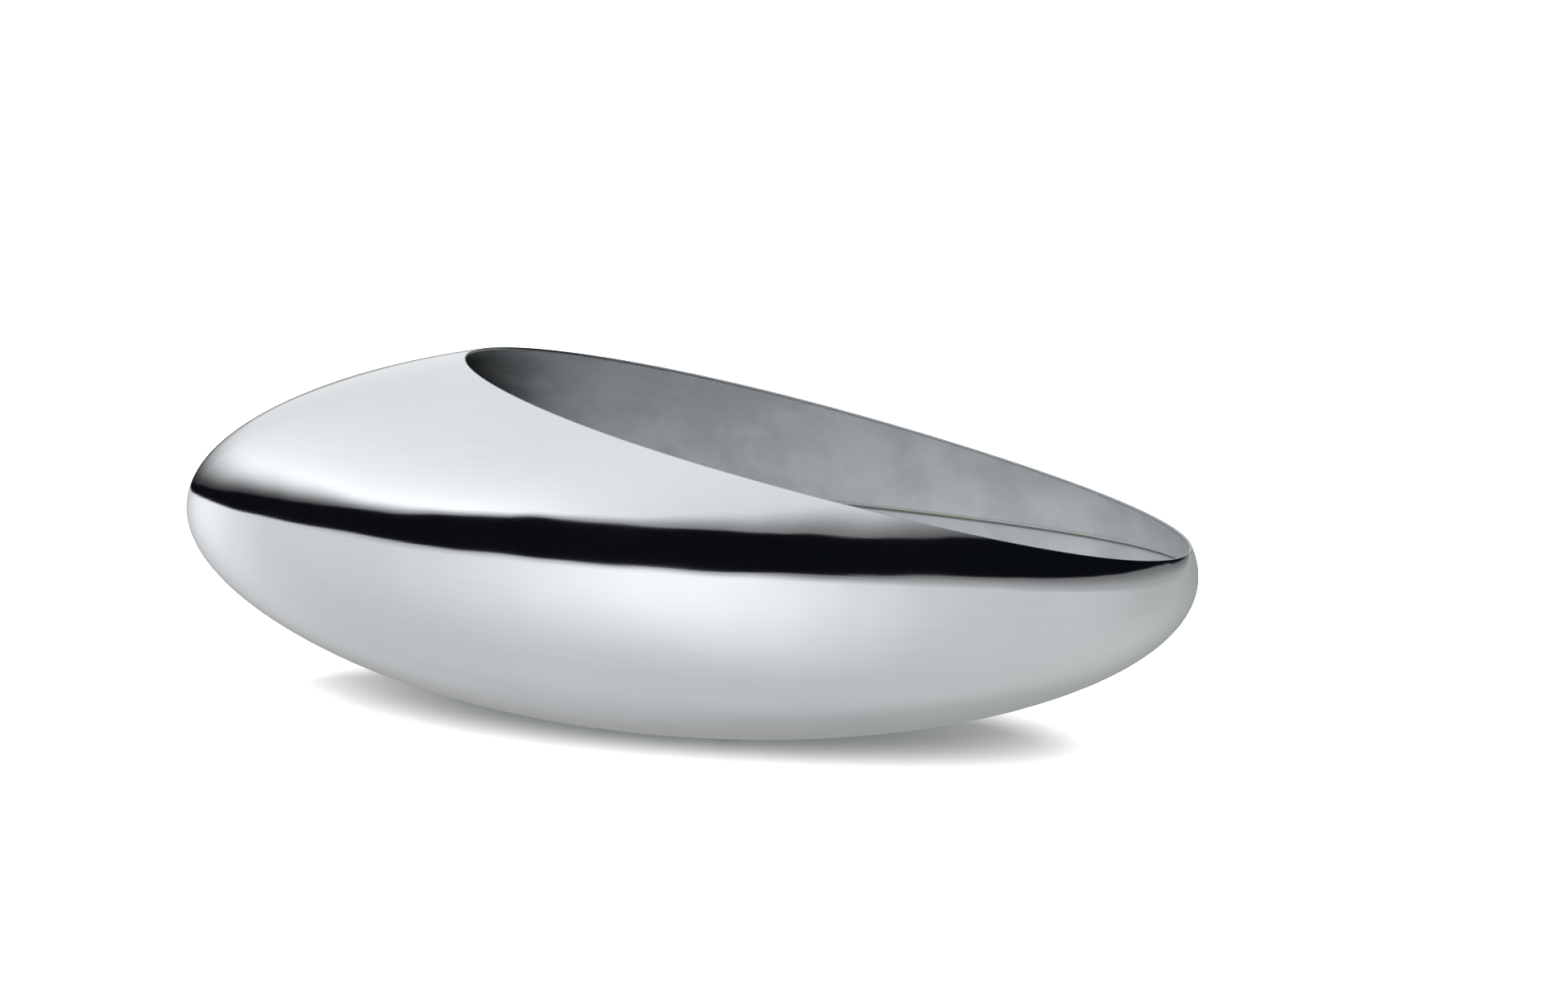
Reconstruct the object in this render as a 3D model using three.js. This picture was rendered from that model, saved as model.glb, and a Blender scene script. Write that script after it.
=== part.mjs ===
// A champagne cooler in the shape of a long pebble that lies on a table. It is a thin stainless steel
// sheet pressed as two halves, welded round the middle and polished flush outside. A slanted plane cuts
// the mouth: high at the hood, low at the tail, so that a bottle lies in the ice with its neck over the
// tail's rim.
//
// Frame: millimetres. +X runs from the closed nose to the open tail, +Y runs across and +Z is up. The
// origin is on the table, under the middle of the length.

import * as THREE from "three";

// Driving dimensions
const HALF_LENGTH = 230; // nose to tail is twice this
const HALF_WIDTH = 90; // before the plan's swelling
const HALF_HEIGHT = 85; // middle section, from the seam to the crest or the keel
const WALL = 1.5; // sheet thickness

// The pebble's fullness along its length, as polynomials of u, which is -1 at the nose and 1 at the tail.
const PLAN_FULLNESS = [1, -0.07, -0.12, 0.28]; // narrow nose, blunt tail
const PROFILE_FULLNESS = [1, 0, -0.065]; // crest and keel
const DROOP = [0, 0, -2]; // how far the two tips hang under the middle of the seam
const SHOULDER = -0.045; // share of width lost at the crest and the keel against a plain ellipse

// The mouth's plane, measured from the seam's level
const MOUTH_HEIGHT = 57.6; // over the middle of the length
const MOUTH_SLOPE = -0.205; // rise per unit of +X

// The base and its feet
const BASE_PRESS = 1.5; // how far the keel is pressed flat
const BASE_BLEND = 0.4; // softness of the flat's border
const PAD_RADIUS = 5;
const PAD_THICKNESS = 1;
const PAD_EDGE = 0.2; // rounded corner of a pad
const PAD_SPREAD_X = 27;
const PAD_SPREAD_Y = 8;
const GLUE_GAP = 0.3; // adhesive layer between pad and steel

// The weld between the two halves
const WELD_HALF_HEIGHT = 1; // fused zone, above and below the seam
const WELD_GAP = 0.3; // between the weld and each pressing
const BEAD_RISE = 0.8; // how far the bead stands out of the wall inside

const BASE_LEVEL = BASE_PRESS - HALF_HEIGHT; // the pressed flat, from the seam's level
const SEAM_HEIGHT = PAD_THICKNESS + GLUE_GAP - BASE_LEVEL; // the seam's level over the table

// Mesh fineness
const MERIDIANS = 72;
const LOWER_RINGS = 16;
const UPPER_RINGS = 12;
const PAD_SIDES = 24;
const BISECTIONS = 40;

const polynomial = (terms, u) => terms.reduceRight((sum, term) => sum * u + term, 0);
const slope = (terms, u) =>
  terms.reduce((sum, term, power) => sum + (power ? power * term * u ** (power - 1) : 0), 0);

// The flat that a press leaves in the keel: the height never falls under the floor, with a soft border.
function pressedFlat(height, floor) {
  const over = height - floor;
  if (over >= BASE_BLEND) return height;
  if (over <= -BASE_BLEND) return floor;
  return floor + (over + BASE_BLEND) ** 2 / (4 * BASE_BLEND);
}

// A direction from the pebble's centre: longitude runs round the vertical axis from the tail, and
// latitude is -90 degrees at the keel, 0 about the seam and 90 degrees at the crest.
function directionAt(longitude, latitude) {
  return new THREE.Vector3(
    Math.cos(latitude) * Math.cos(longitude),
    Math.cos(latitude) * Math.sin(longitude),
    Math.sin(latitude),
  );
}

// The point in that direction on the sheet, depth millimetres inside its outer face, from the seam's
// level. The pebble is the unit sphere, warped by the polynomials above, and the columns of the warp's
// Jacobian give its normal.
function sheetPoint(direction, depth) {
  const { x: u, y: v, z: w } = direction;
  const breadth = HALF_WIDTH * polynomial(PLAN_FULLNESS, u);
  const rise = HALF_HEIGHT * polynomial(PROFILE_FULLNESS, u);
  const square = 1 + SHOULDER * w * w;
  const alongU = new THREE.Vector3(
    HALF_LENGTH,
    v * HALF_WIDTH * slope(PLAN_FULLNESS, u) * square,
    slope(DROOP, u) + w * HALF_HEIGHT * slope(PROFILE_FULLNESS, u),
  );
  const alongV = new THREE.Vector3(0, breadth * square, 0);
  const alongW = new THREE.Vector3(0, v * breadth * 2 * SHOULDER * w, rise);
  const normal = new THREE.Vector3()
    .addScaledVector(new THREE.Vector3().crossVectors(alongV, alongW), u)
    .addScaledVector(new THREE.Vector3().crossVectors(alongW, alongU), v)
    .addScaledVector(new THREE.Vector3().crossVectors(alongU, alongV), w)
    .normalize();
  const point = new THREE.Vector3(
    HALF_LENGTH * u,
    v * breadth * square,
    polynomial(DROOP, u) + w * rise,
  ).addScaledVector(normal, -depth);
  point.z = pressedFlat(point.z, BASE_LEVEL + depth);
  return point;
}

// The latitude on one meridian where the sheet, depth millimetres inside its outer face, crosses a
// surface, given as a function that is negative below it.
function latitudeOf(longitude, depth, over) {
  let low = -Math.PI / 2;
  let high = Math.PI / 2;
  for (let i = 0; i < BISECTIONS; i++) {
    const middle = (low + high) / 2;
    if (over(sheetPoint(directionAt(longitude, middle), depth)) < 0) low = middle;
    else high = middle;
  }
  return (low + high) / 2;
}

const overLevel = (level) => (point) => point.z - level;
const overMouth = (point) => point.z - MOUTH_HEIGHT - MOUTH_SLOPE * point.x;

// A closed solid from loops of points: each loop joins the next, the last joins the first, and a loop
// of one point closes to a tip.
function solidFromLoops(loops, closed) {
  const positions = [];
  const starts = loops.map((loop) => {
    const start = positions.length / 3;
    loop.forEach((p) => positions.push(p.x, p.y, p.z));
    return start;
  });
  const index = [];
  const at = (loop, i) => starts[loop] + (loops[loop].length === 1 ? 0 : i % MERIDIANS);
  const pairs = closed ? loops.length : loops.length - 1;
  for (let k = 0; k < pairs; k++) {
    const next = (k + 1) % loops.length;
    for (let i = 0; i < MERIDIANS; i++) {
      const [a, b, c, d] = [at(k, i), at(k, i + 1), at(next, i), at(next, i + 1)];
      if (a !== b) index.push(a, b, c);
      if (c !== d) index.push(b, d, c);
    }
  }
  const geometry = new THREE.BufferGeometry();
  geometry.setAttribute("position", new THREE.Float32BufferAttribute(positions, 3));
  geometry.setIndex(index);
  geometry.computeVertexNormals();
  return geometry;
}

const longitudes = Array.from({ length: MERIDIANS }, (_, i) => (2 * Math.PI * (i + 0.5)) / MERIDIANS);

// One ring of the sheet at a share of the way from its lower edge to its upper edge.
function ring(lower, upper, share, depth) {
  return longitudes.map((longitude, i) => {
    const latitude = lower[i] + (upper[i] - lower[i]) * share;
    return sheetPoint(directionAt(longitude, latitude), depth);
  });
}

// The lower pressing: from the keel up to the weld, with its edge square to the sheet.
function lowerShellGeometry() {
  const keel = longitudes.map(() => -Math.PI / 2);
  const edge = longitudes.map((longitude) =>
    latitudeOf(longitude, 0, overLevel(-WELD_HALF_HEIGHT - WELD_GAP)),
  );
  const down = new THREE.Vector3(0, 0, -1);
  const outside = [[sheetPoint(down, 0)]];
  const inside = [[sheetPoint(down, WALL)]];
  for (let k = 1; k <= LOWER_RINGS; k++) {
    outside.push(ring(keel, edge, k / LOWER_RINGS, 0));
    inside.push(ring(keel, edge, k / LOWER_RINGS, WALL));
  }
  return solidFromLoops([...outside, ...inside.reverse()], false);
}

// The upper pressing: from the weld up to the mouth, with both edges square to the sheet. The rim's outer
// corner lies in the mouth's plane.
function upperShellGeometry() {
  const foot = longitudes.map((longitude) =>
    latitudeOf(longitude, 0, overLevel(WELD_HALF_HEIGHT + WELD_GAP)),
  );
  const rim = longitudes.map((longitude) => latitudeOf(longitude, 0, overMouth));
  const outside = [];
  const inside = [];
  for (let k = 0; k <= UPPER_RINGS; k++) {
    outside.push(ring(foot, rim, k / UPPER_RINGS, 0));
    inside.push(ring(foot, rim, k / UPPER_RINGS, WALL));
  }
  return solidFromLoops([...outside, ...inside.reverse()], true);
}

// The weld: flush with the sheet outside, and a low rounded bead inside.
function seamWeldGeometry() {
  const h = WELD_HALF_HEIGHT;
  const section = [
    [0, -h],
    [0, h],
    [WALL, h],
    [WALL + BEAD_RISE * 0.75, h * 0.6],
    [WALL + BEAD_RISE, 0],
    [WALL + BEAD_RISE * 0.75, -h * 0.6],
    [WALL, -h],
  ];
  const seam = longitudes.map((longitude) => latitudeOf(longitude, 0, overLevel(0)));
  const loops = section.map(([depth, lift]) =>
    longitudes.map((longitude, i) => {
      const point = sheetPoint(directionAt(longitude, seam[i]), depth);
      point.z = lift;
      return point;
    }),
  );
  return solidFromLoops(loops, true);
}

// One round pad with softened corners, standing on the table.
function padGeometry() {
  const profile = [
    [0, 0],
    [PAD_RADIUS - PAD_EDGE, 0],
    [PAD_RADIUS, PAD_EDGE],
    [PAD_RADIUS, PAD_THICKNESS - PAD_EDGE],
    [PAD_RADIUS - PAD_EDGE, PAD_THICKNESS],
    [0, PAD_THICKNESS],
  ].map(([r, z]) => new THREE.Vector2(r, z));
  return new THREE.LatheGeometry(profile, PAD_SIDES).rotateX(Math.PI / 2);
}

const polishedSteel = () => new THREE.MeshStandardMaterial({ color: 0xd4d6d8, metalness: 1, roughness: 0.12 });
const weldSteel = () => new THREE.MeshStandardMaterial({ color: 0x9a9b9c, metalness: 1, roughness: 0.45 });
const silicone = () => new THREE.MeshStandardMaterial({ color: 0xc9cbcc, metalness: 0, roughness: 0.6 });

function piece(name, geometry, material) {
  const mesh = new THREE.Mesh(geometry, material);
  mesh.name = name;
  return mesh;
}

const cooler = new THREE.Group();

const body = new THREE.Group(); // drawn from the seam's level
body.position.z = SEAM_HEIGHT;
body.add(piece("lower_shell", lowerShellGeometry(), polishedSteel()));
body.add(piece("upper_shell", upperShellGeometry(), polishedSteel()));
body.add(piece("seam_weld", seamWeldGeometry(), weldSteel()));
cooler.add(body);

const corners = [
  ["tail_left", 1, 1],
  ["tail_right", 1, -1],
  ["nose_left", -1, 1],
  ["nose_right", -1, -1],
];
for (const [place, alongX, alongY] of corners) {
  const pad = piece("pad_" + place, padGeometry(), silicone());
  pad.position.set(alongX * PAD_SPREAD_X, alongY * PAD_SPREAD_Y, 0);
  cooler.add(pad);
}

export default cooler;
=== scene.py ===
"""A polished steel champagne cooler, shaped like a long pebble with a slanted mouth, on a pale studio floor.

The cooler is two pressed halves of thin sheet, welded round the widest line and polished flush outside.
Each half, the weld and each silicone pad is a piece of its own, in metres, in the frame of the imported
model: +X runs from the closed nose to the open tail and +Z is up.
"""

from __future__ import annotations

import logging
import math
from dataclasses import dataclass, field
from enum import Enum
from typing import Any, Callable, Mapping, Sequence, Union

import bpy
import numpy as np
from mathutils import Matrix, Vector

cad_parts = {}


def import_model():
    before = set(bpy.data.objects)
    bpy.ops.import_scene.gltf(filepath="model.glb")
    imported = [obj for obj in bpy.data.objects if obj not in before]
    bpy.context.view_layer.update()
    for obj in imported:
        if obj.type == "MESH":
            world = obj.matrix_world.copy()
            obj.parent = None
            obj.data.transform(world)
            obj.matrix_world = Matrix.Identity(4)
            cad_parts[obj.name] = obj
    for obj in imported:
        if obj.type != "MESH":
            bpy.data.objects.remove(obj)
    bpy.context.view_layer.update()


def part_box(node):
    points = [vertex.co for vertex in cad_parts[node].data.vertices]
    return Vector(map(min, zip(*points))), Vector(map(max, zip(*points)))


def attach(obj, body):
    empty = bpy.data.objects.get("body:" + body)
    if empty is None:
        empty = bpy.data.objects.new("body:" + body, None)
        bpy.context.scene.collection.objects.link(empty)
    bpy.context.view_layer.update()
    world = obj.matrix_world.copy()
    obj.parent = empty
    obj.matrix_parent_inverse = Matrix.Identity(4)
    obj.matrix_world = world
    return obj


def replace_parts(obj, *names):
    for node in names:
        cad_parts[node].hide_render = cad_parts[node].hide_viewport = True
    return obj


LOG = logging.getLogger("cooler")
MM = 0.001

Array = np.ndarray
Colour = tuple[float, float, float]
Value = Union["Wire", float]
Span = tuple[float, float]
Profile = tuple[Span, ...]

# A Mix node's numbers, vectors and colours share their sockets' names, so its colours go by place.
MIX_FACTOR, MIX_FIRST_COLOUR, MIX_SECOND_COLOUR = 0, 6, 7
MIX_COLOUR_RESULT = 2


class Slot(Enum):
    """Names of the material slots."""

    STEEL = "polished_steel"
    WELD = "weld_bead"
    SILICONE = "silicone"


class Face(Enum):
    """Which finish a face of a sheet piece takes; the number is its place among the piece's materials."""

    OUTSIDE = 0
    INSIDE = 1
    EDGE = 2


# ------------------------------------------------------------
# Shader graphs
# ------------------------------------------------------------


class Wire:
    """A node's output, on which Python's operators add Math nodes."""

    def __init__(self, graph: Graph, socket: bpy.types.NodeSocket | None) -> None:
        """Keeps the output and the graph that it belongs to."""
        self.graph = graph
        self.socket = socket

    def __add__(self, other: Value) -> Wire:
        """Sum."""
        return self.graph.math("ADD", self, other)

    def __radd__(self, other: Value) -> Wire:
        """Sum, from a number on the left."""
        return self.graph.math("ADD", other, self)

    def __sub__(self, other: Value) -> Wire:
        """Difference."""
        return self.graph.math("SUBTRACT", self, other)

    def __rsub__(self, other: Value) -> Wire:
        """Difference, from a number on the left."""
        return self.graph.math("SUBTRACT", other, self)

    def __mul__(self, other: Value) -> Wire:
        """Product."""
        return self.graph.math("MULTIPLY", self, other)

    def __rmul__(self, other: Value) -> Wire:
        """Product, from a number on the left."""
        return self.graph.math("MULTIPLY", other, self)

    def __truediv__(self, other: Value) -> Wire:
        """Quotient."""
        return self.graph.math("DIVIDE", self, other)

    def __rtruediv__(self, other: Value) -> Wire:
        """Quotient, from a number on the left."""
        return self.graph.math("DIVIDE", other, self)


class Graph:
    """A node tree, built by one method that adds any node."""

    def __init__(self, tree: bpy.types.NodeTree) -> None:
        """Empties the tree.

        Args:
            tree: The node tree of a material or of the world.
        """
        self.tree = tree
        tree.nodes.clear()

    def add(
        self,
        kind: str,
        settings: Mapping[str, Any] | None = None,
        inputs: Mapping[str | int, Any] | None = None,
        output: str | int = 0,
    ) -> Wire:
        """Adds one node.

        Args:
            kind: The node's type.
            settings: The node's properties, which are set first. "stops" gives a ramp's stops as pairs
                of position and grey level or colour, and "interpolation" how it runs between them.
            inputs: Values or wires, by the input's name or number.
            output: The name or number of the output to return.

        Returns:
            The chosen output.
        """
        node = self.tree.nodes.new(kind)
        for name, value in (settings or {}).items():
            if name == "stops":
                self._set_stops(node.color_ramp, value)
            elif name == "interpolation":
                node.color_ramp.interpolation = value
            else:
                setattr(node, name, value)
        for name, value in (inputs or {}).items():
            if isinstance(value, Wire):
                self.tree.links.new(value.socket, node.inputs[name])
            else:
                node.inputs[name].default_value = value
        return Wire(self, node.outputs[output] if len(node.outputs) else None)

    @staticmethod
    def _set_stops(ramp: bpy.types.ColorRamp, stops: Sequence[tuple[float, Any]]) -> None:
        """Gives a ramp its stops.

        Args:
            ramp: The ramp, which starts with two stops.
            stops: Pairs of position and grey level or colour.
        """
        while len(ramp.elements) < len(stops):
            ramp.elements.new(1.0)
        for element, (position, level) in zip(ramp.elements, stops):
            element.position = position
            colour = (level,) * 3 if isinstance(level, (int, float)) else level
            element.color = (*colour, 1.0)

    def math(self, operation: str, *operands: Value) -> Wire:
        """Adds a Math node.

        Args:
            operation: The Math node's operation.
            operands: One or two values or wires.

        Returns:
            The result.
        """
        return self.add("ShaderNodeMath", {"operation": operation}, dict(enumerate(operands)))

    def between(self, value: Value, low: Value, high: Value) -> Wire:
        """Rises smoothly from 0 where the value is low to 1 where it is high.

        Args:
            value: What is measured.
            low: Where the rise starts.
            high: Where the rise ends.

        Returns:
            A level from 0 to 1.
        """
        settings = {"interpolation_type": "SMOOTHSTEP"}
        inputs = {"Value": value, "From Min": low, "From Max": high}
        return self.add("ShaderNodeMapRange", settings, inputs)

    def blend(self, level: Value, low: Any, high: Any) -> Wire:
        """Mixes two colours.

        Args:
            level: 0 for the first colour and 1 for the second.
            low: A colour or a wire.
            high: A colour or a wire.

        Returns:
            The mixed colour.
        """
        first, second = (c if isinstance(c, Wire) else (*c, 1.0) for c in (low, high))
        inputs = {MIX_FACTOR: level, MIX_FIRST_COLOUR: first, MIX_SECOND_COLOUR: second}
        return self.add("ShaderNodeMix", {"data_type": "RGBA"}, inputs, MIX_COLOUR_RESULT)

    def noise(self, vector: Wire, scale: float, detail: float, roughness: float = 0.5) -> Wire:
        """Adds a noise texture.

        Args:
            vector: Where it is read.
            scale: Features per unit.
            detail: Octaves.
            roughness: How much each octave adds.

        Returns:
            A level around 0.5.
        """
        inputs = {"Vector": vector, "Scale": scale, "Detail": detail, "Roughness": roughness}
        return self.add("ShaderNodeTexNoise", None, inputs)

    def bump(self, height: Wire, strength: float = 1.0) -> Wire:
        """Adds a bump.

        Args:
            height: Height over the surface, in metres.
            strength: How much of it shows.

        Returns:
            A normal.
        """
        inputs = {"Strength": strength, "Distance": 1.0, "Height": height}
        return self.add("ShaderNodeBump", None, inputs, "Normal")

    def position(self) -> Wire:
        """The place on the object, in metres."""
        return self.add("ShaderNodeTexCoord", None, None, "Object")

    def parts(self, vector: Wire) -> tuple[Wire, Wire, Wire]:
        """Splits a vector.

        Args:
            vector: What is split.

        Returns:
            Its three numbers.
        """
        split = self.add("ShaderNodeSeparateXYZ", None, {0: vector})
        x, y, z = (Wire(self, output) for output in split.socket.node.outputs)
        return x, y, z

    def vector(self, x: Value, y: Value, z: Value) -> Wire:
        """A vector of three numbers."""
        return self.add("ShaderNodeCombineXYZ", None, {0: x, 1: y, 2: z})

    def close(self, shader: Wire, target: str = "ShaderNodeOutputMaterial") -> None:
        """Connects a shader to the tree's output."""
        self.add(target, None, {"Surface": shader})

    def surface(self, inputs: Mapping[str, Any]) -> None:
        """Ends a material with a Principled shader that has these inputs."""
        self.close(self.add("ShaderNodeBsdfPrincipled", None, inputs))


def new_material(name: str) -> tuple[bpy.types.Material, Graph]:
    """Makes an empty material.

    Args:
        name: The finish's name.

    Returns:
        The material and its graph.
    """
    material = bpy.data.materials.new(name)
    material.use_nodes = True
    return material, Graph(material.node_tree)


# ------------------------------------------------------------
# Finishes
# ------------------------------------------------------------


def stroke_space(graph: Graph, axis_height: float, along: float, across: float) -> Wire:
    """Coordinates in which a noise becomes strokes that run from nose to tail.

    Args:
        graph: The material's graph.
        axis_height: Height of the pebble's long axis, in metres.
        along: Noise units per metre of length.
        across: Noise units per radian round the long axis.

    Returns:
        A vector for a noise texture.
    """
    x, y, z = graph.parts(graph.position())
    section = graph.vector(0.0, y, z - axis_height)
    turn = graph.add("ShaderNodeVectorMath", {"operation": "NORMALIZE"}, {0: section})
    turned = graph.add("ShaderNodeVectorMath", {"operation": "SCALE"}, {0: turn, "Scale": across})
    run = graph.vector(x * along, 0.0, 0.0)
    return graph.add("ShaderNodeVectorMath", {"operation": "ADD"}, {0: turned, 1: run})


@dataclass(frozen=True)
class MirrorPolish:
    """Stainless steel polished to a mirror by lengthwise strokes, over slightly uneven pressed sheet.

    The strokes are noise stretched along the sheet, the waves and dents are the press's, and the haze
    is where the polish is less fine.
    """

    axis_height: float
    tint: Colour = (0.605, 0.620, 0.632)
    haze_tint: Colour = (0.575, 0.592, 0.598)
    roughness: float = 0.05
    stroke_roughness: float = 0.05
    strokes_along: float = 26.0
    strokes_across: float = 150.0
    stroke_depth: float = 0.003 * MM
    wave_depth: float = 0.9 * MM
    dent_depth: float = 0.2 * MM

    def make(self) -> bpy.types.Material:
        """Builds the finish.

        Returns:
            The material.
        """
        material, graph = new_material("mirror_polish")
        lengthwise = stroke_space(graph, self.axis_height, self.strokes_along, self.strokes_across)
        strokes = graph.noise(lengthwise, scale=1.0, detail=4.0, roughness=0.6)
        haze = graph.noise(graph.position(), scale=14.0, detail=3.0)
        waves = graph.noise(graph.position(), scale=13.0, detail=0.0)
        dents = graph.noise(graph.position(), scale=42.0, detail=0.0)
        veil = graph.between(haze, 0.35, 0.7)
        streaks = graph.between(strokes, 0.35, 0.65)
        height = strokes * self.stroke_depth + waves * self.wave_depth + dents * self.dent_depth
        graph.surface(
            {
                "Base Color": graph.blend(veil * 0.5 + streaks * 0.5, self.tint, self.haze_tint),
                "Metallic": 1.0,
                "Roughness": self.roughness + self.stroke_roughness * strokes * veil,
                "Normal": graph.bump(height),
            }
        )
        return material


@dataclass(frozen=True)
class SatinInsideWithPaintedShade:
    """The blasted inside of the sheet: dull grey with cloudy blotches, and near black under the hood, where
    the colour is painted shade.

    The painted shade ends along a ragged line between two distances from the middle of the length.
    """

    light: Colour = (0.65, 0.68, 0.70)
    dark: Colour = (0.52, 0.55, 0.565)
    # Painted shade: this near-black colour stands for the hood's shade on the inside of the sheet.
    shadow: Colour = (0.042, 0.043, 0.046)
    metallic: float = 0.45
    roughness: float = 0.38
    roughness_spread: float = 0.14
    # Where the painted shade is full and where it is gone, along the length.
    painted_shade_full_until: float = -108.0 * MM
    painted_shade_gone_from: float = -62.0 * MM
    raggedness: float = 20.0 * MM
    grain_depth: float = 0.006 * MM

    def make(self) -> bpy.types.Material:
        """Builds the finish.

        Returns:
            The material.
        """
        material, graph = new_material("satin_inside_with_painted_shade")
        place = graph.position()
        clouds = graph.noise(place, scale=34.0, detail=7.0, roughness=0.66)
        specks = graph.noise(place, scale=420.0, detail=2.0, roughness=0.6)
        grain = graph.noise(place, scale=1900.0, detail=1.0)
        blotches = graph.between(clouds, 0.36, 0.64)
        clouding = blotches * 0.8 + specks * 0.2
        along, _, _ = graph.parts(place)
        # Painted shade mask: 0 under the hood, where the colour is the painted shadow, and 1 where the
        # satin's own colour shows.
        clear_of_painted_shade = graph.between(along + self.raggedness * clouds, self.painted_shade_full_until, self.painted_shade_gone_from)
        steel = graph.blend(clouding, self.dark, self.light)
        graph.surface(
            {
                "Base Color": graph.blend(clear_of_painted_shade, self.shadow, steel),
                "Metallic": self.metallic,
                "Roughness": self.roughness + self.roughness_spread * blotches,
                "Normal": graph.bump(grain * self.grain_depth),
            }
        )
        return material


@dataclass(frozen=True)
class GroundEdge:
    """The cut edge of the sheet, ground flat and buffed, with short grinding lines along it; its colours are
    painted far darker than buffed steel, a painted dark reflection.
    """

    # Painted reflection: both colours are far darker than buffed steel and stand for the dark that the edge
    # mirrors.
    tint: Colour = (0.34, 0.35, 0.36)
    shade: Colour = (0.24, 0.25, 0.26)
    roughness: float = 0.16
    roughness_spread: float = 0.12
    lines_along: float = 140.0
    lines_across: float = 900.0
    line_depth: float = 0.004 * MM

    def make(self) -> bpy.types.Material:
        """Builds the finish.

        Returns:
            The material.
        """
        material, graph = new_material("ground_edge")
        x, y, z = graph.parts(graph.position())
        stretched = graph.vector(x * self.lines_along, y * self.lines_across, z * self.lines_along)
        lines = graph.noise(stretched, scale=1.0, detail=3.0, roughness=0.6)
        graph.surface(
            {
                "Base Color": graph.blend(lines, self.shade, self.tint),
                "Metallic": 1.0,
                "Roughness": self.roughness + self.roughness_spread * lines,
                "Normal": graph.bump(lines * self.line_depth),
            }
        )
        return material


@dataclass(frozen=True)
class WeldBead:
    """The weld's inner bead: dull grey, rippled along its run, with a faint straw heat tint."""

    steel: Colour = (0.45, 0.455, 0.46)
    straw: Colour = (0.46, 0.445, 0.41)
    roughness: float = 0.36
    roughness_spread: float = 0.16
    ripple_depth: float = 0.05 * MM
    ripple_pitch: float = 1.6 * MM
    ripple_skew: float = 0.35
    ripple_wobble: float = 6.0
    grit_depth: float = 0.02 * MM

    def make(self) -> bpy.types.Material:
        """Builds the finish.

        Returns:
            The material.
        """
        material, graph = new_material("weld_bead")
        place = graph.position()
        x, y, _ = graph.parts(place)
        phase = (x + self.ripple_skew * y) * (2.0 * math.pi / self.ripple_pitch)
        wobble = graph.noise(place, scale=90.0, detail=2.0) * self.ripple_wobble
        ripples = graph.math("SINE", phase + wobble)
        grit = graph.noise(place, scale=2600.0, detail=2.0)
        tinted = graph.between(graph.noise(place, scale=34.0, detail=2.0), 0.48, 0.68)
        height = ripples * self.ripple_depth + grit * self.grit_depth
        graph.surface(
            {
                "Base Color": graph.blend(tinted, self.steel, self.straw),
                "Metallic": 1.0,
                "Roughness": self.roughness + self.roughness_spread * grit,
                "Normal": graph.bump(height, strength=0.7),
            }
        )
        return material


@dataclass(frozen=True)
class ClearSilicone:
    """Milky silicone: matt, slightly see-through, with a fine moulded texture and a little dust."""

    clear: Colour = (0.74, 0.76, 0.77)
    dusty: Colour = (0.60, 0.61, 0.61)
    roughness: float = 0.42
    roughness_spread: float = 0.25
    glow_reach: float = 2.0 * MM
    texture_depth: float = 0.02 * MM

    def make(self) -> bpy.types.Material:
        """Builds the finish.

        Returns:
            The material.
        """
        material, graph = new_material("clear_silicone")
        place = graph.position()
        dust = graph.between(graph.noise(place, scale=300.0, detail=3.0), 0.5, 0.75)
        texture = graph.noise(place, scale=2400.0, detail=2.0)
        graph.surface(
            {
                "Base Color": graph.blend(dust, self.clear, self.dusty),
                "Roughness": self.roughness + self.roughness_spread * dust,
                "Subsurface Weight": 0.3,
                "Subsurface Radius": (self.glow_reach,) * 3,
                "Specular IOR Level": 0.4,
                "Normal": graph.bump(texture * self.texture_depth, strength=0.6),
            }
        )
        return material


# ------------------------------------------------------------
# The pebble's form
# ------------------------------------------------------------

SMALL_ANGLE = 1e-4  # step of a slope, in radians
TINY_AREA = 1e-14  # a patch of the sheet that has shrunk to a point, in square metres
BISECTIONS = 48


def polynomial(terms: Sequence[float], u: Array) -> Array:
    """The value of a polynomial, lowest power first."""
    return sum(term * u**power for power, term in enumerate(terms))


def slope(terms: Sequence[float], u: Array) -> Array:
    """The slope of a polynomial, lowest power first."""
    return sum(power * term * u ** (power - 1) for power, term in enumerate(terms) if power)


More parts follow.
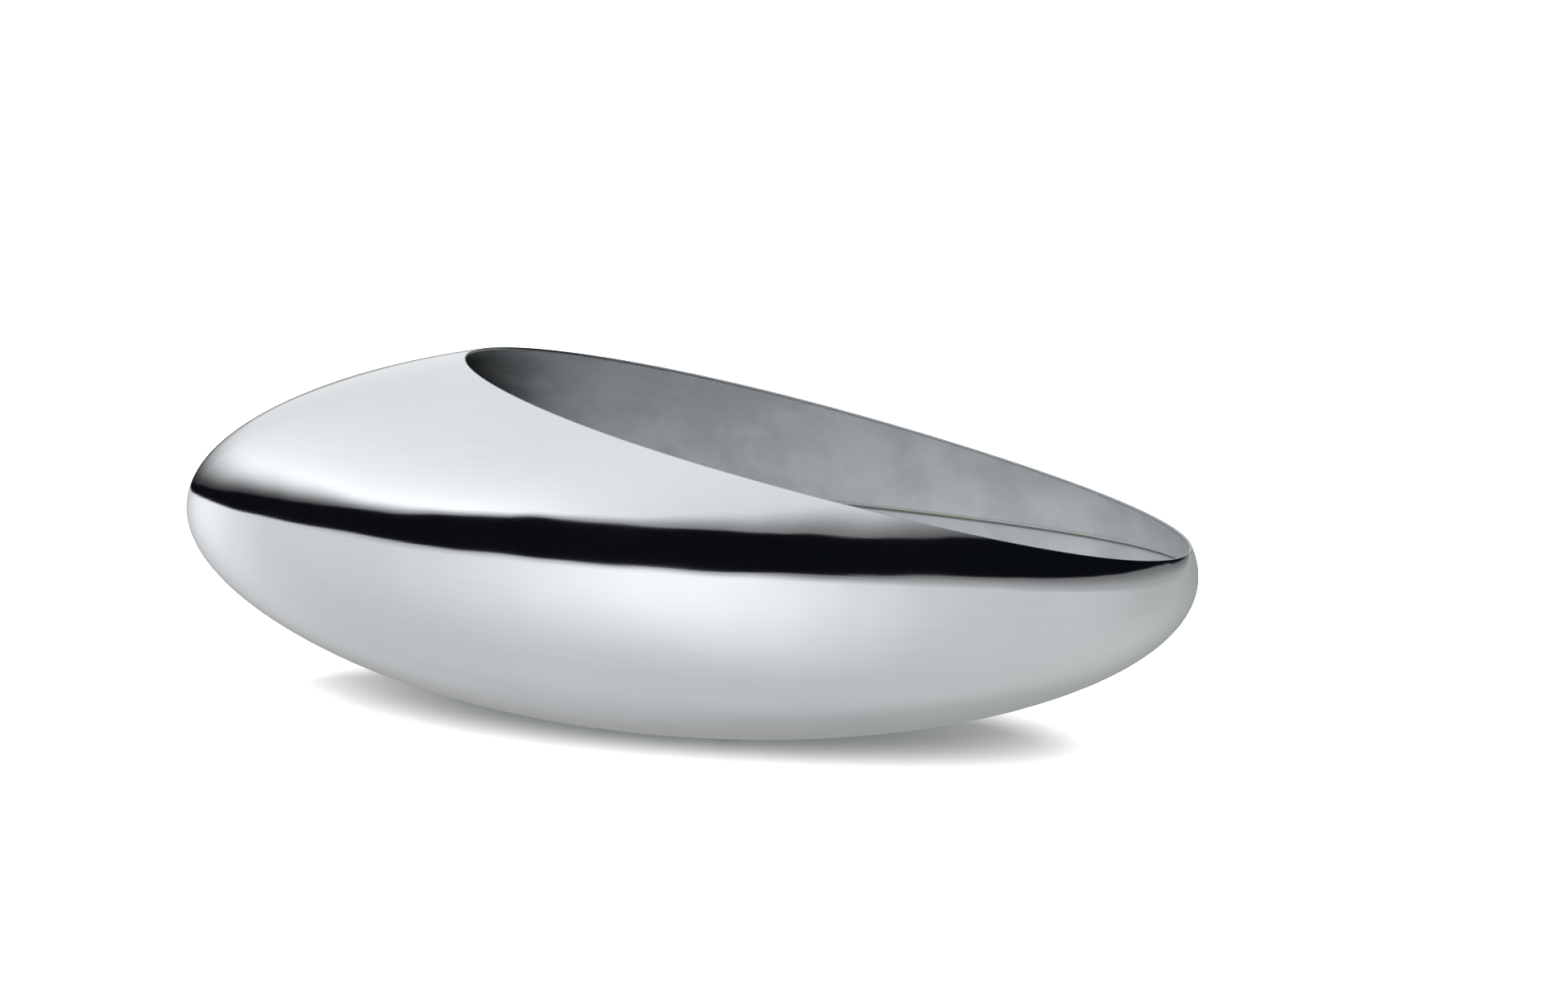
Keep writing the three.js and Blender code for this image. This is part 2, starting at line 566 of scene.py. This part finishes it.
@dataclass(frozen=True)
class PebbleForm:
    """The pebble as a warped sphere, seen from the level of its seam.

    A direction is a longitude round the vertical axis, from the tail, and a latitude, which is -90
    degrees at the keel and 90 degrees at the crest.
    """

    seam_height: float
    half_length: float = 230.0 * MM
    half_width: float = 90.0 * MM
    half_height: float = 85.0 * MM
    plan_fullness: tuple[float, ...] = (1.0, -0.07, -0.12, 0.28)
    profile_fullness: tuple[float, ...] = (1.0, 0.0, -0.065)
    droop: tuple[float, ...] = (0.0, 0.0, -2.0 * MM)
    shoulder: float = -0.045
    mouth_height: float = 57.6 * MM
    mouth_slope: float = -0.205
    base_press: float = 1.5 * MM
    base_blend: float = 0.4 * MM

    @property
    def base_level(self) -> float:
        """Height of the pressed flat over the seam's level."""
        return self.base_press - self.half_height

    def point(self, longitude: Array, latitude: Array, depth: float) -> Array:
        """Points of the sheet.

        Args:
            longitude: Directions round the vertical axis, in radians.
            latitude: Directions over the seam's level, in radians.
            depth: Distance inside the outer face.

        Returns:
            Points over the table, one row each.
        """
        u = np.cos(latitude) * np.cos(longitude)
        v = np.cos(latitude) * np.sin(longitude)
        w = np.sin(latitude)
        breadth = self.half_width * polynomial(self.plan_fullness, u)
        rise = self.half_height * polynomial(self.profile_fullness, u)
        square = 1.0 + self.shoulder * w * w
        zero = np.zeros_like(u)
        along_u = np.stack(
            [
                zero + self.half_length,
                v * self.half_width * slope(self.plan_fullness, u) * square,
                slope(self.droop, u) + w * self.half_height * slope(self.profile_fullness, u),
            ],
            -1,
        )
        along_v = np.stack([zero, breadth * square, zero], -1)
        along_w = np.stack([zero, v * breadth * 2.0 * self.shoulder * w, rise], -1)
        normal = (
            np.cross(along_v, along_w) * u[..., None]
            + np.cross(along_w, along_u) * v[..., None]
            + np.cross(along_u, along_v) * w[..., None]
        )
        normal /= np.linalg.norm(normal, axis=-1, keepdims=True)
        height = polynomial(self.droop, u) + w * rise
        points = np.stack([self.half_length * u, v * breadth * square, height], -1)
        points -= normal * depth
        points[..., 2] = self._pressed(points[..., 2], self.base_level + depth) + self.seam_height
        return points

    def _pressed(self, height: Array, floor: float) -> Array:
        """The flat that a press leaves in the keel.

        Args:
            height: Heights before pressing.
            floor: The flat's height.

        Returns:
            Heights that never fall under the floor, with a soft border.
        """
        over = height - floor
        soft = floor + np.square(np.clip(over + self.base_blend, 0.0, None)) / (4.0 * self.base_blend)
        return np.where(over >= self.base_blend, height, soft)

    def outward(self, longitude: Array, latitude: Array, depth: float) -> tuple[Array, Array]:
        """The sheet's outward normal and how fast it climbs, by small steps.

        Args:
            longitude: Directions round the vertical axis.
            latitude: Directions over the seam's level.
            depth: Distance inside the outer face.

        Returns:
            Unit normals, and metres of climb per radian of latitude.
        """
        step = SMALL_ANGLE
        east = self.point(longitude + step, latitude, depth) - self.point(longitude - step, latitude, depth)
        north = self.point(longitude, latitude + step, depth) - self.point(longitude, latitude - step, depth)
        climb = np.linalg.norm(north, axis=-1) / (2.0 * step)
        normal = np.cross(east, north)
        size = np.linalg.norm(normal, axis=-1, keepdims=True)
        at_pole = size < TINY_AREA
        upright = np.sign(np.sin(latitude))[..., None] * np.array([0.0, 0.0, 1.0])
        normal = np.where(at_pole, upright, normal / np.where(at_pole, 1.0, size))
        return normal, climb

    def latitude_where(self, longitude: Array, depth: float, over: Callable[[Array], Array]) -> Array:
        """Where each meridian of the sheet crosses a surface.

        Args:
            longitude: The meridians.
            depth: Distance inside the outer face.
            over: A function of points that is negative below the surface.

        Returns:
            One latitude for each meridian.
        """
        low = np.full_like(longitude, -math.pi / 2)
        high = np.full_like(longitude, math.pi / 2)
        for _ in range(BISECTIONS):
            middle = (low + high) / 2
            below = over(self.point(longitude, middle, depth)) < 0
            low = np.where(below, middle, low)
            high = np.where(below, high, middle)
        return (low + high) / 2

    def over_level(self, lift: float) -> Callable[[Array], Array]:
        """Height over a level that is lift over the seam."""
        return lambda points: points[..., 2] - self.seam_height - lift

    def over_mouth(self, points: Array) -> Array:
        """Height over the mouth's plane."""
        return points[..., 2] - self.seam_height - self.mouth_height - self.mouth_slope * points[..., 0]


# ------------------------------------------------------------
# Meshes from rings
# ------------------------------------------------------------


@dataclass
class RingMesh:
    """Gathers rings of points, with their normals and finishes, into one closed mesh."""

    points: list[Array] = field(default_factory=list)
    normals: list[Array] = field(default_factory=list)
    faces: list[Face] = field(default_factory=list)

    def ring(self, points: Array, normals: Array, face: Face) -> None:
        """Adds a ring.

        Args:
            points: The ring's points, or one point for a tip.
            normals: Their outward normals.
            face: The finish of the band from this ring to the next.
        """
        self.points.append(points)
        self.normals.append(normals)
        self.faces.append(face)

    def build(self, name: str, materials: Sequence[bpy.types.Material], closed: bool) -> bpy.types.Object:
        """Makes the object.

        Args:
            name: The piece's name.
            materials: One material for each finish, in the order of Face.
            closed: Whether the last ring joins the first.

        Returns:
            A new object in the scene.
        """
        starts = np.cumsum([0] + [len(ring) for ring in self.points])
        count = max(len(ring) for ring in self.points)
        polygons: list[tuple[int, ...]] = []
        slots: list[int] = []
        last = len(self.points) if closed else len(self.points) - 1
        for k in range(last):
            after = (k + 1) % len(self.points)
            for i in range(count):
                a, b = (starts[k] + j % len(self.points[k]) for j in (i, i + 1))
                c, d = (starts[after] + j % len(self.points[after]) for j in (i + 1, i))
                polygons.append(tuple(dict.fromkeys(map(int, (a, b, c, d)))))
                slots.append(self.faces[k].value)
        mesh = bpy.data.meshes.new(name)
        mesh.from_pydata(np.concatenate(self.points).tolist(), [], polygons)
        mesh.polygons.foreach_set("material_index", slots)
        mesh.polygons.foreach_set("use_smooth", [True] * len(polygons))
        for material in materials:
            mesh.materials.append(material)
        mesh.normals_split_custom_set_from_vertices(np.concatenate(self.normals).tolist())
        mesh.validate()
        piece = bpy.data.objects.new(name, mesh)
        bpy.context.scene.collection.objects.link(piece)
        return piece


# ------------------------------------------------------------
# The cooler
# ------------------------------------------------------------


def dress(piece: bpy.types.Object, node: str) -> bpy.types.Object:
    """Puts a piece in the place of its CAD node.

    Args:
        piece: The piece.
        node: The CAD node.

    Returns:
        The same piece.
    """
    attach(piece, "root")
    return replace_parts(piece, node)


@dataclass
class SteelBody:
    """The two pressed halves and the weld between them."""

    form: PebbleForm
    wall: float = 1.5 * MM
    weld_half_height: float = 1.0 * MM
    bead_rise: float = 0.8 * MM
    edge_round: float = 0.5 * MM
    meridians: int = 360
    lower_rings: int = 72
    upper_rings: int = 56
    edge_steps: int = 5
    bead_steps: int = 8

    def __post_init__(self) -> None:
        """Works out the meridians and where they meet the weld."""
        form, half = self.form, self.weld_half_height
        self.longitude = 2.0 * math.pi * (np.arange(self.meridians) + 0.5) / self.meridians
        self.weld_foot = form.latitude_where(self.longitude, 0.0, form.over_level(-half))
        self.weld_head = form.latitude_where(self.longitude, 0.0, form.over_level(half))

    def make(self) -> list[bpy.types.Object]:
        """Builds and dresses the halves and the weld.

        Returns:
            The three pieces.
        """
        polish = MirrorPolish(self.form.seam_height).make()
        finishes = [polish, SatinInsideWithPaintedShade().make(), GroundEdge().make()]
        lower = dress(self.make_lower(finishes), "lower_shell")
        upper = dress(self.make_upper(finishes), "upper_shell")
        weld = dress(self.make_weld([polish, WeldBead().make()]), "seam_weld")
        return [lower, upper, weld]

    def _sheet_rings(
        self, mesh: RingMesh, low: Array, high: Array, shares: Array, depth: float, face: Face
    ) -> None:
        """Adds rings on one face of the sheet.

        Args:
            mesh: The mesh that takes them.
            low: Latitudes of the lower edge.
            high: Latitudes of the upper edge.
            shares: How far each ring lies between them.
            depth: Distance inside the outer face.
            face: The finish.
        """
        sign = 1.0 if face is Face.OUTSIDE else -1.0
        for share in shares:
            latitude = low + (high - low) * share
            normal, _ = self.form.outward(self.longitude, latitude, depth)
            mesh.ring(self.form.point(self.longitude, latitude, depth), sign * normal, face)

    def make_lower(self, finishes: Sequence[bpy.types.Material]) -> bpy.types.Object:
        """Builds the lower pressing, from the keel up to the weld.

        Args:
            finishes: One for each Face.

        Returns:
            The pressing.
        """
        mesh = RingMesh()
        keel = np.full_like(self.longitude, -math.pi / 2)
        tip = np.array([-math.pi / 2])
        shares = np.arange(1, self.lower_rings + 1) / self.lower_rings
        down = np.array([[0.0, 0.0, -1.0]])
        mesh.ring(self.form.point(np.zeros(1), tip, 0.0), down, Face.OUTSIDE)
        self._sheet_rings(mesh, keel, self.weld_foot, shares, 0.0, Face.OUTSIDE)
        mesh.faces[-1] = Face.EDGE
        self._sheet_rings(mesh, keel, self.weld_foot, shares[::-1], self.wall, Face.INSIDE)
        mesh.ring(self.form.point(np.zeros(1), tip, self.wall), -down, Face.INSIDE)
        return mesh.build("lower_pressing", finishes, closed=False)

    def make_upper(self, finishes: Sequence[bpy.types.Material]) -> bpy.types.Object:
        """Builds the upper pressing, from the weld up to the rounded rim.

        Args:
            finishes: One for each Face.

        Returns:
            The pressing.
        """
        mesh = RingMesh()
        form = self.form
        shares = np.arange(self.upper_rings + 1) / self.upper_rings
        rim = form.latitude_where(self.longitude, 0.0, form.over_mouth)
        outer, inner = (form.point(self.longitude, rim, depth) for depth in (0.0, self.wall))
        inward = (inner - outer) / np.linalg.norm(inner - outer, axis=-1, keepdims=True)
        climbs = (form.outward(self.longitude, rim, depth)[1] for depth in (0.0, self.wall))
        shoulders = [rim - self.edge_round / climb for climb in climbs]
        self._sheet_rings(mesh, self.weld_head, shoulders[0], shares, 0.0, Face.OUTSIDE)
        mesh.faces[-1] = Face.EDGE
        self._fillet(mesh, mesh.points[-1], outer, outer + inward * self.edge_round)
        inner_shoulder = form.point(self.longitude, shoulders[1], self.wall)
        self._fillet(mesh, inner - inward * self.edge_round, inner, inner_shoulder)
        mesh.faces[-1] = Face.INSIDE
        self._sheet_rings(mesh, self.weld_head, shoulders[1], shares[-2::-1], self.wall, Face.INSIDE)
        mesh.faces[-1] = Face.EDGE
        return mesh.build("upper_pressing", finishes, closed=True)

    def _fillet(self, mesh: RingMesh, start: Array, corner: Array, end: Array) -> None:
        """Adds the rings of one rounded edge of the rim.

        Args:
            mesh: The mesh that takes them.
            start: Where the round starts.
            corner: The sharp corner that it rounds off.
            end: Where the round ends.
        """
        steps = np.arange(self.edge_steps + 1) / self.edge_steps
        along = np.roll(corner, -1, 0) - np.roll(corner, 1, 0)
        first = 1 if mesh.faces[-1] is Face.EDGE and np.allclose(mesh.points[-1], start) else 0
        for t in steps[first:]:
            point = (1 - t) ** 2 * start + 2 * t * (1 - t) * corner + t**2 * end
            tangent = (1 - t) * (corner - start) + t * (end - corner)
            normal = np.cross(along, tangent)
            normal /= np.linalg.norm(normal, axis=-1, keepdims=True)
            mesh.ring(point, normal, Face.EDGE)

    def make_weld(self, finishes: Sequence[bpy.types.Material]) -> bpy.types.Object:
        """Builds the weld: flush outside, with a low rounded bead inside.

        Args:
            finishes: The outside's polish and the bead's finish.

        Returns:
            The weld.
        """
        mesh = RingMesh()
        form, half = self.form, self.weld_half_height
        shares = np.array([0.0, 0.5, 1.0])
        self._sheet_rings(mesh, self.weld_foot, self.weld_head, shares, 0.0, Face.OUTSIDE)
        mesh.faces[-1] = Face.INSIDE
        seam = form.latitude_where(self.longitude, 0.0, form.over_level(0.0))
        normal, _ = form.outward(self.longitude, seam, self.wall)
        middle = form.point(self.longitude, seam, self.wall)
        level = normal * np.array([1.0, 1.0, 0.0])
        level /= np.linalg.norm(level, axis=-1, keepdims=True)
        for step in range(self.bead_steps + 1):
            turn = math.pi * (0.5 - step / self.bead_steps)
            lift = half * math.sin(turn)
            point = middle - level * self.bead_rise * math.cos(turn)
            point[:, 2] = form.seam_height + lift
            outward = -level * math.cos(turn) + np.array([0.0, 0.0, 1.0]) * math.sin(turn)
            mesh.ring(point, outward, Face.INSIDE)
        return mesh.build("seam_weld_bead", finishes, closed=True)


@dataclass
class FootPads:
    """Four round silicone pads under the pressed flat, each with a soft rim and a dished underside."""

    nodes: tuple[str, ...] = ("pad_tail_left", "pad_tail_right", "pad_nose_left", "pad_nose_right")
    corner: float = 0.3 * MM
    dish: float = 0.12 * MM
    dish_share: float = 0.62
    dish_floor: float = 0.7
    sides: int = 64
    corner_steps: int = 5

    def make(self) -> list[bpy.types.Object]:
        """Builds and dresses the pads.

        Returns:
            The four pieces.
        """
        silicone = ClearSilicone().make()
        return [dress(self.make_pad(node, silicone), node) for node in self.nodes]

    def make_pad(self, node: str, silicone: bpy.types.Material) -> bpy.types.Object:
        """Builds one pad in the box of its CAD node.

        Args:
            node: The CAD node.
            silicone: The finish.

        Returns:
            The pad.
        """
        low, high = (np.array(corner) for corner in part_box(node))
        middle, radius, height = (low + high) / 2, (high[0] - low[0]) / 2, high[2] - low[2]
        dish_radius, flank = radius * self.dish_share, radius - self.corner
        profile = [(dish_radius * self.dish_floor, self.dish), (dish_radius, 0.0)]
        for start, level in ((-math.pi / 2, self.corner), (0.0, height - self.corner)):
            for step in range(self.corner_steps + 1):
                turn = start + math.pi / 2 * step / self.corner_steps
                profile.append((flank + self.corner * math.cos(turn), level + self.corner * math.sin(turn)))
        angle = 2.0 * math.pi * np.arange(self.sides) / self.sides
        mesh = RingMesh()
        centre = np.array([[middle[0], middle[1], low[2]]])
        mesh.ring(centre + [[0.0, 0.0, self.dish]], np.array([[0.0, 0.0, -1.0]]), Face.OUTSIDE)
        for k, (r, z) in enumerate(profile):
            before, after = profile[max(k - 1, 0)], profile[min(k + 1, len(profile) - 1)]
            run, rise = after[0] - before[0], after[1] - before[1]
            size = math.hypot(run, rise)
            ring = np.stack([r * np.cos(angle), r * np.sin(angle), np.full_like(angle, z)], -1)
            normal = np.stack([rise * np.cos(angle), rise * np.sin(angle), np.full_like(angle, -run)], -1)
            mesh.ring(centre + ring, normal / size, Face.OUTSIDE)
        mesh.ring(centre + [[0.0, 0.0, height]], np.array([[0.0, 0.0, 1.0]]), Face.OUTSIDE)
        return mesh.build("silicone_" + node, [silicone], closed=False)


# ------------------------------------------------------------
# The studio
# ------------------------------------------------------------


@dataclass(frozen=True)
class StudioCamera:
    """The camera that takes the picture, low and a little to the right of the cooler's side."""

    azimuth: float = math.radians(17.96)
    elevation: float = math.radians(13.07)
    distance: float = 1.75
    aim_along: float = 50.1 * MM
    aim_over_seam: float = 23.4 * MM
    lens: float = 94.154  # millimetres
    sensor: float = 36.0  # millimetres
    reach: float = 200.0

    @property
    def back(self) -> Vector:
        """The direction from the aim to the camera."""
        level, lift = math.cos(self.elevation), math.sin(self.elevation)
        return Vector((math.sin(self.azimuth) * level, -math.cos(self.azimuth) * level, lift))

    def make(self, seam_height: float) -> bpy.types.Object:
        """Sets up the scene's camera.

        Args:
            seam_height: Height of the cooler's seam.

        Returns:
            The camera.
        """
        data = bpy.data.cameras.new("studio_camera")
        data.lens, data.sensor_width, data.clip_end = self.lens, self.sensor, self.reach
        camera = bpy.data.objects.new("studio_camera", data)
        bpy.context.scene.collection.objects.link(camera)
        aim = Vector((self.aim_along, 0.0, seam_height + self.aim_over_seam))
        camera.location = aim + self.back * self.distance
        camera.rotation_euler = self.back.to_track_quat("Z", "Y").to_euler()
        bpy.context.scene.camera = camera
        return camera


@dataclass(frozen=True)
class SoftLamp:
    """A wide lamp far away, over the camera's shoulder, which the steel doesn't mirror.

    The brightness is that of a white wall facing the lamp, the spread is the lamp's width as an angle,
    and the lean is its angle from straight overhead.
    """

    name: str
    brightness: float
    spread: float
    lean: float


SHADOW_LAMP = SoftLamp("shadow_lamp", 4.8, math.radians(90.0), math.radians(28.0))
MOUTH_LAMP = SoftLamp("mouth_lamp", 0.80, math.radians(50.0), math.radians(62.0))


def turn_share(degrees: float) -> float:
    """The way round the room to an azimuth, from 0 behind the cooler by the left to 1 behind it again."""
    return degrees / 360.0 + 0.5


@dataclass(frozen=True)
class Studio:
    """The white floor and the soft light round the cooler.

    The light is one function of direction: a bright dome with a glow over the cloth, a band of black
    cloth round the table, a grey card under the cloth, and the table top from its far edge to straight
    below. Azimuths are in degrees, 0 where the camera stands and positive to its right, and elevations
    are in degrees. Each stop of a profile is an azimuth and its value, and each span is where a change
    starts and where it ends.
    """

    camera_azimuth: float
    floor_reach: float = 60.0
    floor_albedo: float = 0.66
    backdrop_radius: float = 55.0

    tint: Colour = (0.99, 1.0, 1.01)
    tail_tint: Colour = (0.955, 1.0, 0.985)
    tail_side: Span = (36.0, 79.2)
    dome: float = 1.18
    glow_fade: float = 14.0
    glow: Profile = (
        (-180, -0.12), (-150, -0.10), (-135, 0.08), (-115, 0.33), (-67, 0.52), (-50, 0.39), (-35, 0.05),
        (-15, -0.12), (150, 0.0), (180, -0.12),
    )

    cloth: float = 0.006
    cloth_tint: Colour = (0.8, 0.95, 1.6)
    cloth_levels: Span = (0.005, 0.06)
    cloth_top: Profile = (
        (-180, -7), (-160, -6), (-150, -4.2), (-140, -1.0), (-130, 1.6), (-110, 5.4), (-90, 10.6),
        (-70, 16.3), (-50, 22.2), (-42, 23.8), (-35, 24.6), (-20, 27), (-10, 31), (0, 36), (20, 42),
        (60, 40), (100, 30), (140, 10), (180, -7),
    )
    cloth_softness: Profile = (
        (-180, 12), (-150, 19), (-130, 19.5), (-110, 17), (-90, 12.5), (-70, 6.2), (-52, 3.9),
        (-42, 4.7), (-32, 7.5), (-20, 15), (-5, 26), (100, 30), (180, 12),
    )
    cloth_hem: Profile = (
        (-180, 0.03), (-130, 0.03), (-90, 0.05), (-70, 0.18), (-40, 0.28), (-22, 0.36), (0, 0.38),
        (150, 0.20), (180, 0.03),
    )
    cloth_foot: Profile = (
        (-180, -2), (-160, -7), (-150, -6), (-135, -3.8), (-120, -2.4), (-100, -2.2), (-85, -0.6),
        (-70, 1.0), (-55, 0.9), (-40, 0.9), (-28, 0.9), (-18, 2.7), (-8, 5.8), (10, 9.3), (35, 14.8),
        (52, 17), (70, 18.3), (85, 17.5), (100, 13.5), (140, 3), (180, -2),
    )
    hem_edge: Span = (-0.5, 0.7)
    foot_edge: Span = (-0.5, 0.5)

    card_fade: float = 0.60
    card_rise: Span = (0.5, 3.5)
    table_horizon: float = 0.60
    horizon_rise: Span = (-3.0, 1.5)
    table_far: Profile = (
        (-180, 0.34), (-168, 0.40), (-155, 0.60), (-145, 0.83), (-135, 1.08), (-120, 1.40), (-108, 1.26),
        (-98, 1.04), (-85, 1.0), (-70, 1.02), (-50, 1.20), (-38, 1.42), (-25, 1.56), (-12, 1.14),
        (0, 0.90), (30, 0.84), (60, 0.71), (105, 0.66), (150, 0.46), (180, 0.34),
    )
    table_near: Profile = (
        (-180, 0.62), (-165, 0.66), (-150, 0.71), (-130, 0.785), (-105, 0.85), (-60, 0.86), (90, 0.84),
        (120, 0.78), (150, 0.70), (180, 0.62),
    )
    table_slant: Profile = (
        (-180, -82), (-160, -76), (-148, -66), (-135, -56), (-95, -46), (-65, -78), (0, -76), (40, -68),
        (120, -68), (180, -82),
    )
    slant_rise: float = 0.1
    table_nadir: float = 0.82
    nadir_rise: Span = (-89.0, -60.0)

    def make(self) -> None:
        """Builds the floor, the backdrop and the light."""
        floor = self.make_floor()
        self.make_backdrop()
        self.hang_lamp(SHADOW_LAMP, [floor])
        self.make_light()

    def make_floor(self) -> bpy.types.Object:
        """Lays the white floor, which the steel sees only as part of the light.

        Returns:
            The floor.
        """
        reach = self.floor_reach
        corners = [(-reach, -reach, 0.0), (reach, -reach, 0.0), (reach, reach, 0.0), (-reach, reach, 0.0)]
        material, graph = new_material("floor_white")
        graph.close(graph.add("ShaderNodeBsdfDiffuse", None, {"Color": (*(self.floor_albedo,) * 3, 1.0)}))
        floor = self._stage_piece("floor", corners, [(0, 1, 2, 3)], material)
        floor.visible_glossy = False
        return floor

    def make_backdrop(self) -> None:
        """Hangs a plain white cylinder far behind everything, which lights nothing."""
        sides, radius = 64, self.backdrop_radius
        turns = [2.0 * math.pi * i / sides for i in range(sides)]
        ring = [(radius * math.cos(turn), radius * math.sin(turn)) for turn in turns]
        points = [(x, y, z) for z in (-radius, radius) for x, y in ring]
        walls = [(i, (i + 1) % sides, sides + (i + 1) % sides, sides + i) for i in range(sides)]
        material, graph = new_material("backdrop_white")
        graph.close(graph.add("ShaderNodeEmission", None, {"Strength": 1.0}))
        backdrop = self._stage_piece("backdrop", points, [*walls, tuple(range(sides, 2 * sides))], material)
        backdrop.visible_diffuse = backdrop.visible_glossy = False
        backdrop.visible_transmission = backdrop.visible_shadow = False

    @staticmethod
    def _stage_piece(
        name: str,
        points: Sequence[tuple[float, float, float]],
        faces: Sequence[tuple[int, ...]],
        material: bpy.types.Material,
    ) -> bpy.types.Object:
        """Adds a piece of the stage.

        Args:
            name: Its name.
            points: Its corners.
            faces: Its faces, as numbers of corners.
            material: Its material.

        Returns:
            The piece.
        """
        mesh = bpy.data.meshes.new(name)
        mesh.from_pydata(points, [], faces)
        mesh.materials.append(material)
        piece = bpy.data.objects.new(name, mesh)
        bpy.context.scene.collection.objects.link(piece)
        return piece

    def hang_lamp(self, lamp: SoftLamp, receivers: Sequence[bpy.types.Object]) -> None:
        """Hangs a lamp that lights only some objects.

        Args:
            lamp: What to hang.
            receivers: What it lights.
        """
        data = bpy.data.lights.new(lamp.name, "SUN")
        data.energy, data.angle = lamp.brightness * math.pi, lamp.spread
        hung = bpy.data.objects.new(lamp.name, data)
        hung.rotation_euler = (lamp.lean, 0.0, self.camera_azimuth)
        hung.visible_glossy = False
        bpy.context.scene.collection.objects.link(hung)
        lit = bpy.data.collections.new("lit_by_" + lamp.name)
        for receiver in receivers:
            lit.objects.link(receiver)
        hung.light_linking.receiver_collection = lit

    def make_light(self) -> None:
        """Makes the light that comes from every direction."""
        world = bpy.data.worlds.new("studio_light")
        bpy.context.scene.world = world
        world.use_nodes = True
        graph = Graph(world.node_tree)
        azimuth, elevation = self._direction(graph)

        top = self._profile(graph, azimuth, self.cloth_top)
        foot = self._profile(graph, azimuth, self.cloth_foot)
        over = graph.between(elevation, *(top + edge for edge in self.hem_edge))
        under = 1.0 - graph.between(elevation, *(foot + edge for edge in self.foot_edge))
        under = under * (1.0 - over)
        off_nadir = graph.between(elevation, *self.nadir_rise)
        dome = self._dome(graph, azimuth, elevation, top) * over
        table = self._table(graph, azimuth, elevation, foot, off_nadir) * under
        level = self.cloth + dome + table

        tailward = graph.between(azimuth, *map(turn_share, self.tail_side)) * off_nadir * under
        tint = graph.blend(tailward, self.tint, self.tail_tint)
        colour = graph.blend(graph.between(level, *self.cloth_levels), self.cloth_tint, tint)
        background = graph.add("ShaderNodeBackground", None, {"Color": colour, "Strength": level})
        graph.close(background, "ShaderNodeOutputWorld")

    def _direction(self, graph: Graph) -> tuple[Wire, Wire]:
        """The direction that the light comes from.

        Args:
            graph: The light's graph.

        Returns:
            The azimuth as a share of the turn, and the elevation in degrees.
        """
        x, y, z = graph.parts(graph.add("ShaderNodeTexCoord", None, None, "Generated"))
        cosine, sine = math.cos(self.camera_azimuth), math.sin(self.camera_azimuth)
        right, front = x * cosine + y * sine, x * sine - y * cosine
        azimuth = graph.math("ARCTAN2", right, front) / (2.0 * math.pi) + 0.5
        lift = graph.math("MINIMUM", graph.math("MAXIMUM", z, -1.0), 1.0)
        return azimuth, graph.math("ARCSINE", lift) * (180.0 / math.pi)

    def _dome(self, graph: Graph, azimuth: Wire, elevation: Wire, top: Wire) -> Wire:
        """The dome, which is dim at the cloth's hem and glows above it.

        Args:
            graph: The light's graph.
            azimuth: As a share of the turn.
            elevation: In degrees.
            top: Elevation of the cloth's hem.

        Returns:
            Its level.
        """
        softness = self._profile(graph, azimuth, self.cloth_softness)
        hem = self._profile(graph, azimuth, self.cloth_hem)
        glow = self._profile(graph, azimuth, self.glow)
        fade = graph.math("EXPONENT", (top + softness - elevation) / self.glow_fade)
        shaded = hem + (1.0 - hem) * graph.between(elevation, top, top + softness)
        return (self.dome + glow * fade) * shaded

    def _table(self, graph: Graph, azimuth: Wire, elevation: Wire, foot: Wire, off_nadir: Wire) -> Wire:
        """The table top, with the card that shades it next to the cloth.

        Args:
            graph: The light's graph.
            azimuth: As a share of the turn.
            elevation: In degrees.
            foot: Elevation of the cloth's lower edge.
            off_nadir: 0 straight below, where all azimuths meet, and 1 away from there.

        Returns:
            Its level.
        """
        far = self._profile(graph, azimuth, self.table_far)
        near = self._profile(graph, azimuth, self.table_near)
        near = self.table_nadir + (near - self.table_nadir) * off_nadir
        slant = self._profile(graph, azimuth, self.table_slant)
        table = near + (far - near) * graph.between(elevation, slant, slant * self.slant_rise)
        table = table + (self.table_horizon - table) * graph.between(elevation, *self.horizon_rise)
        card_foot, card_top = self.card_rise
        card = self.card_fade * graph.between(elevation, card_foot, graph.math("MAXIMUM", foot, card_top))
        return table * (1.0 - card)

    @staticmethod
    def _profile(graph: Graph, azimuth: Wire, stops: Profile) -> Wire:
        """A value that changes smoothly round the room.

        Args:
            graph: The light's graph.
            azimuth: As a share of the turn.
            stops: Azimuths in degrees and values.

        Returns:
            The value at that azimuth.
        """
        values = [value for _, value in stops]
        low, spread = min(values), max(values) - min(values)
        places = [(turn_share(degrees), (value - low) / spread) for degrees, value in stops]
        settings = {"interpolation": "CARDINAL", "stops": places}
        return graph.add("ShaderNodeValToRGB", settings, {"Fac": azimuth}) * spread + low


def main() -> None:
    """Builds the studio and the cooler, and writes how big they are."""
    logging.basicConfig(level=logging.INFO, format="%(name)s: %(message)s")
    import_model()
    low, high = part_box("seam_weld")
    form = PebbleForm(seam_height=(low.z + high.z) / 2)
    camera = StudioCamera()
    camera.make(form.seam_height)
    bpy.context.scene.view_settings.view_transform = "Standard"
    studio = Studio(camera.azimuth)
    studio.make()
    steel = SteelBody(form).make()
    studio.hang_lamp(MOUTH_LAMP, steel)
    for piece in steel + FootPads().make():
        LOG.info("%s: %d faces", piece.name, len(piece.data.polygons))


if __name__ == "__main__":
    main()
